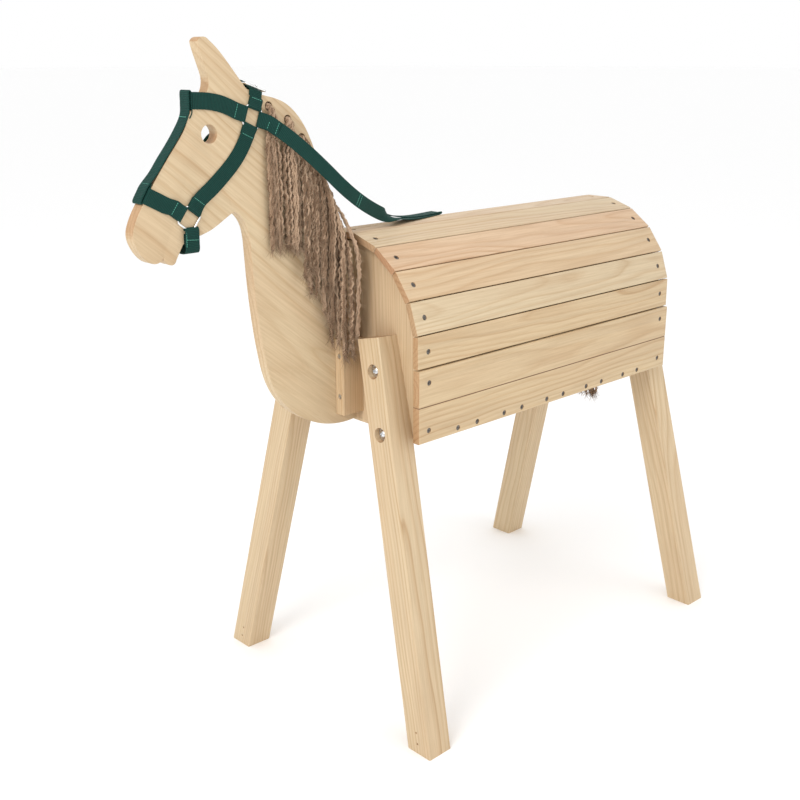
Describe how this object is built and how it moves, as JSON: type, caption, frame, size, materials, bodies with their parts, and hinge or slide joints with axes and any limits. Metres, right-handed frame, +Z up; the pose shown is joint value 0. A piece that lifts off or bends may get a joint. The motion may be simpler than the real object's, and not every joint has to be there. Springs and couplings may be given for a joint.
{
  "type": "wooden play horse",
  "caption": "Free-standing wooden play horse with a plank barrel body, splayed legs, flat head and neck board, rope mane and tail, and a webbing halter with rein.",
  "frame": {"origin": "on the ground, in the middle of the horse's overall length and width", "axes": "+X forward to the head, +Y to the horse's left, +Z up"},
  "size_m": [1.0209, 0.493, 1.0066],
  "materials": {
    "pine_planks": "clear-sealed planed pine",
    "pine_panels": "clear-sealed planed pine",
    "pine_legs": "clear-sealed planed pine",
    "pine_head": "clear-sealed planed pine",
    "webbing": "dark green ribbed webbing",
    "yarn": "natural twisted jute",
    "nickel": "polished nickel plate",
    "zinc": "bright zinc plate",
    "screw_steel": "dull zinc plate"
  },
  "bodies": {
    "horse": {"top_plank": "pine_planks", "left_plank_1": "pine_planks", "right_plank_1": "pine_planks", "left_plank_2": "pine_planks", "right_plank_2": "pine_planks", "left_plank_3": "pine_planks", "right_plank_3": "pine_planks", "left_plank_4": "pine_planks", "right_plank_4": "pine_planks", "left_plank_5": "pine_planks", "right_plank_5": "pine_planks", "left_side_board": "pine_planks", "right_side_board": "pine_planks", "floor_slat_1": "pine_planks", "floor_slat_2": "pine_planks", "floor_slat_3": "pine_planks", "floor_slat_4": "pine_planks", "floor_slat_5": "pine_planks", "front_end_panel": "pine_panels", "rear_end_panel": "pine_panels", "front_left_leg": "pine_legs", "front_right_leg": "pine_legs", "rear_left_leg": "pine_legs", "rear_right_leg": "pine_legs", "neck_board": "pine_head", "left_neck_cleat": "pine_head", "right_neck_cleat": "pine_head", "plank_screws": "screw_steel", "floor_screws": "screw_steel", "cleat_screws": "screw_steel", "leg_bolts": "zinc", "leg_washers": "zinc", "leg_nuts": "zinc", "left_upper_ring": "nickel", "right_upper_ring": "nickel", "left_lower_ring": "nickel", "right_lower_ring": "nickel", "crown_buckle": "nickel", "left_cheek_strap": "webbing", "right_cheek_strap": "webbing", "browband": "webbing", "noseband": "webbing", "chin_strap": "webbing", "face_strap": "webbing", "crown_strap": "webbing", "mane_lock_1": "yarn", "mane_lock_2": "yarn", "mane_lock_3": "yarn", "mane_lock_4": "yarn", "mane_lock_5": "yarn", "mane_lock_6": "yarn", "mane_lock_7": "yarn"},
    "rein": {"rein": "webbing"},
    "tail": {"tail": "yarn"},
    "tongue": {"buckle_tongue": "nickel"}
  },
  "joints": [
    {"name": "rein_lift", "type": "hinge", "parent": "horse", "child": "rein", "pos_m": [0.31335, 0, 0.90413], "axis": [0, 1, 0], "range_deg": [0, 60]},
    {"name": "tail_swing", "type": "hinge", "parent": "horse", "child": "tail", "pos_m": [-0.43863, 0, 0.64], "axis": [1, 0, 0], "range_deg": [-15, 15]},
    {"name": "tongue_turn", "type": "hinge", "parent": "horse", "child": "tongue", "pos_m": [0.31875, -0.0125, 0.94549], "axis": [0.9455, 0, 0.3256], "range_deg": [0, 100]}
  ]
}
